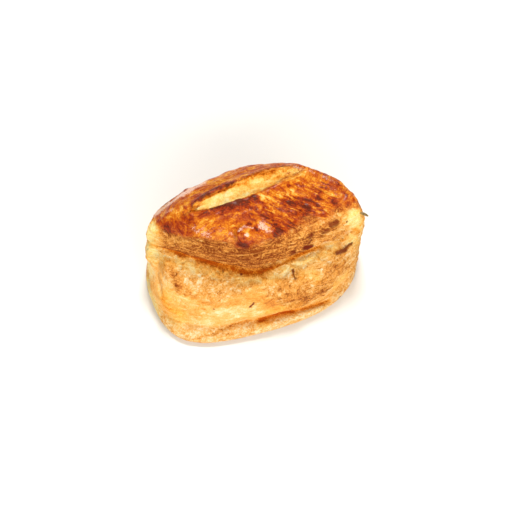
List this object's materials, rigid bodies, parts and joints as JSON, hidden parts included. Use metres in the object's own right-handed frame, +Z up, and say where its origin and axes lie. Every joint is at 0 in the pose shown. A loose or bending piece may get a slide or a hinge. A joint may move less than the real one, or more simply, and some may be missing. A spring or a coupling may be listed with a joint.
{
  "type": "pogaca bread bun",
  "caption": "Oval flaky bread bun with a flat base, a plain side wall and a domed glazed cap that bulges over a crease, with one long slash that shows pale crumb.",
  "frame": {"origin": "on the surface the bun stands on, below the middle of its bounding box", "axes": "+X along the bun to its right end, -Y to its front, where the crease under the cap is lowest, +Z up"},
  "size_m": [0.1011, 0.0723, 0.0493],
  "materials": {
    "baked_crust": "egg-glazed golden-brown crust on the cap, dry pale golden flaky dough on the wall, foot and underside",
    "herb_fleck": "dried dark green-brown herb flake"
  },
  "bodies": {
    "root": {"bun": "baked_crust"}
  },
  "joints": []
}
